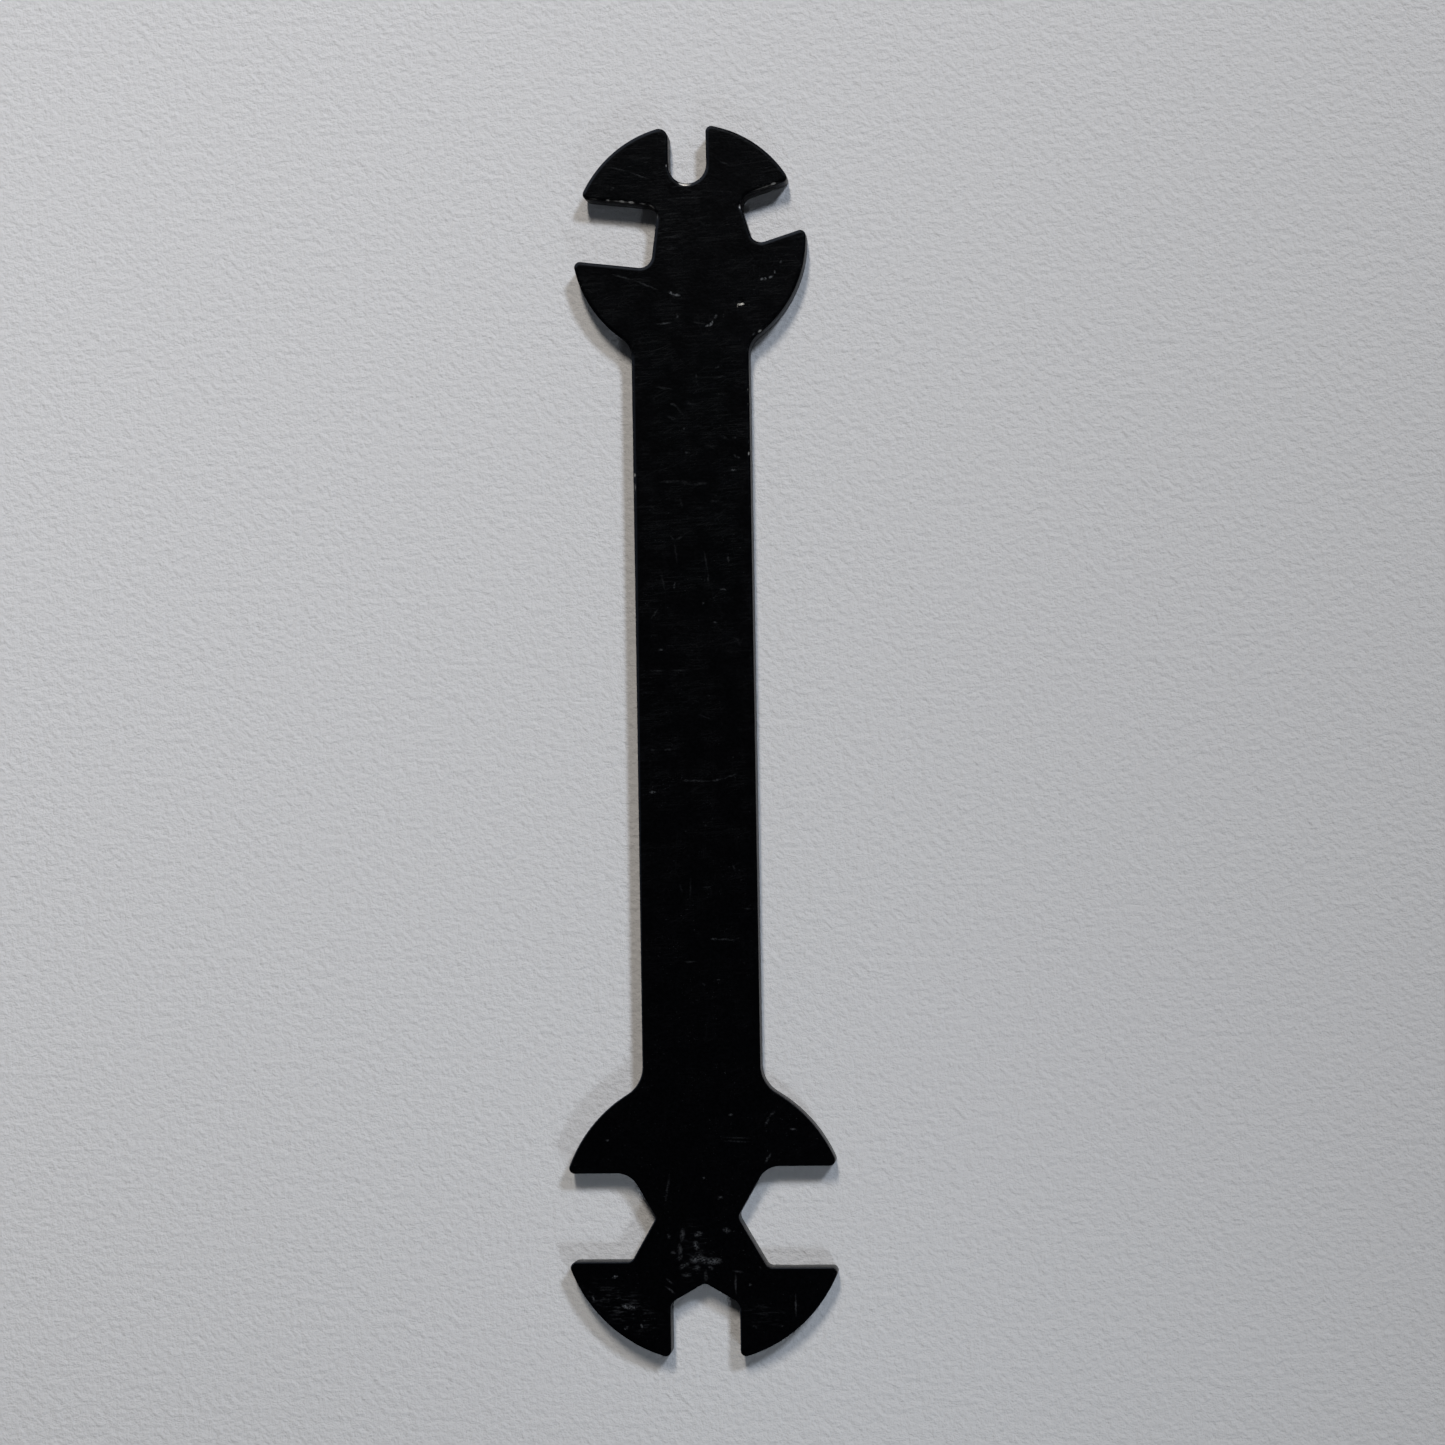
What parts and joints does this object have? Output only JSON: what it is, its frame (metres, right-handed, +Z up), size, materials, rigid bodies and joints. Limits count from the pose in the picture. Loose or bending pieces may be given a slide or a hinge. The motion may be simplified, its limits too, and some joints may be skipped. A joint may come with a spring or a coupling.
{
  "type": "multi-wrench",
  "caption": "Flat black steel plate wrench: a straight shank with a round head at each end, and open jaws of graded sizes cut into the rims of both heads.",
  "frame": {"origin": "under the middle of the plate's length, on the centre line of the shank, on the underside", "axes": "+Y along the shank towards the small head, +X across the plate to the right seen from above with the small head away, +Z up out of the top face"},
  "size_m": [0.0216, 0.0992, 0.0025],
  "materials": {
    "black_steel": "blackened steel, satin, with fine handling scratches and bare metal along worn edges"
  },
  "bodies": {
    "root": {"wrench_plate": "black_steel"}
  },
  "joints": []
}
